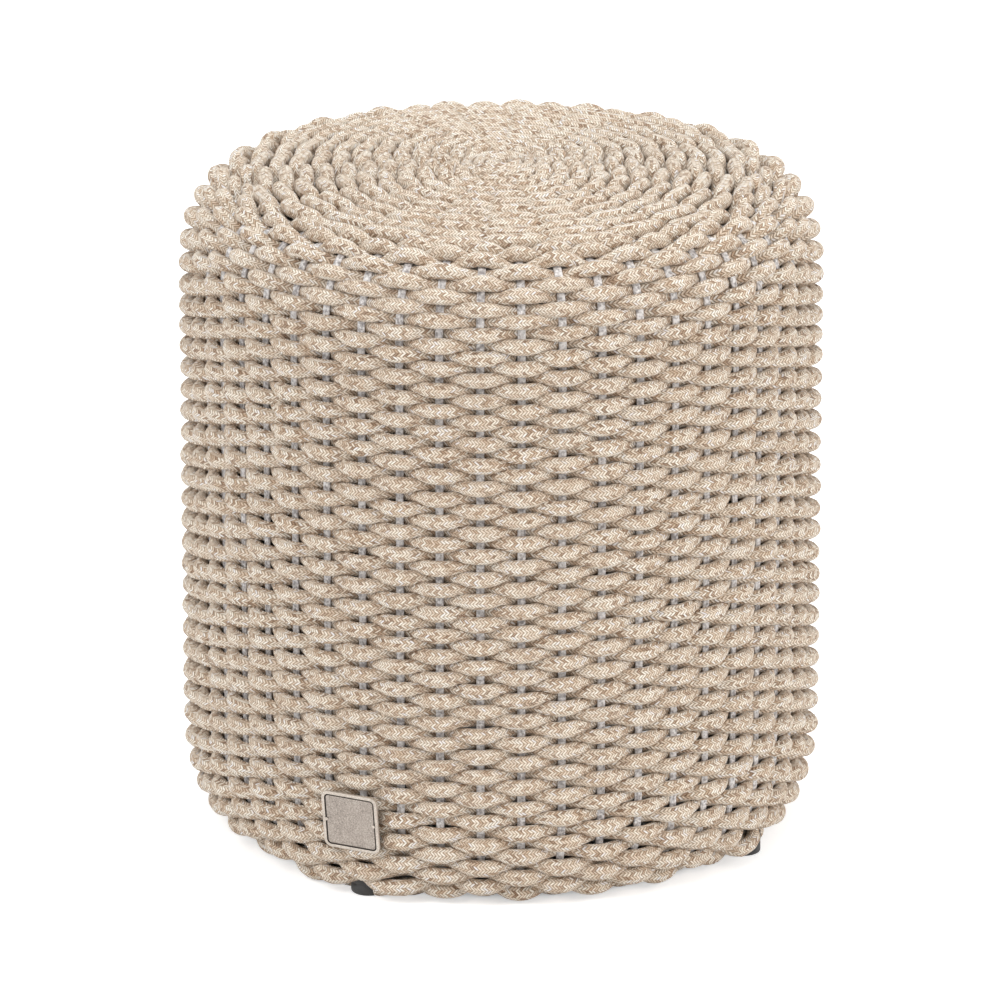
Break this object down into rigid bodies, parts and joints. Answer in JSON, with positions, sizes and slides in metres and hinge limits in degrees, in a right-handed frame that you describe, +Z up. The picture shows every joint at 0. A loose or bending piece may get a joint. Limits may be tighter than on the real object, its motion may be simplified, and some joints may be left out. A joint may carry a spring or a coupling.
{
  "type": "outdoor ottoman footstool",
  "caption": "Round upright outdoor footstool: braided rope woven over flat straps on an aluminium ring frame, with a slightly domed top, rounded edges and low glides.",
  "frame": {"origin": "on the floor, under the middle of the footstool", "axes": "+Z up; -Y is the front, the side that faces the viewer in the picture; +X is to the viewer's right"},
  "size_m": [0.423, 0.423, 0.45],
  "materials": {
    "rope": "braided outdoor rope, beige heather, matte",
    "strap": "flat woven strap, pale grey, matte",
    "frame": "powder coated, grey, satin",
    "glide": "moulded, black, matte",
    "stud": "zinc plated",
    "badge": "pewter grey, satin"
  },
  "bodies": {
    "root": {"base_ring": "frame", "top_ring": "frame", "lower_hoop": "frame", "upper_hoop": "frame", "hub": "frame", "upright_1": "frame", "spoke_1": "frame", "glide_stud_1": "stud", "glide_1": "glide", "upright_2": "frame", "spoke_2": "frame", "glide_stud_2": "stud", "glide_2": "glide", "upright_3": "frame", "spoke_3": "frame", "glide_stud_3": "stud", "glide_3": "glide", "upright_4": "frame", "spoke_4": "frame", "glide_stud_4": "stud", "glide_4": "glide", "strap_01": "strap", "strap_02": "strap", "strap_03": "strap", "strap_04": "strap", "strap_05": "strap", "strap_06": "strap", "strap_07": "strap", "strap_08": "strap", "strap_09": "strap", "strap_10": "strap", "strap_11": "strap", "strap_12": "strap", "strap_13": "strap", "strap_14": "strap", "strap_15": "strap", "strap_16": "strap", "strap_17": "strap", "strap_18": "strap", "strap_19": "strap", "strap_20": "strap", "strap_21": "strap", "strap_22": "strap", "strap_23": "strap", "strap_24": "strap", "weave_side": "rope", "weave_top": "rope", "badge_plate": "badge", "badge_rivet_left": "badge", "badge_rivet_right": "badge", "badge_backing": "frame"}
  },
  "joints": []
}
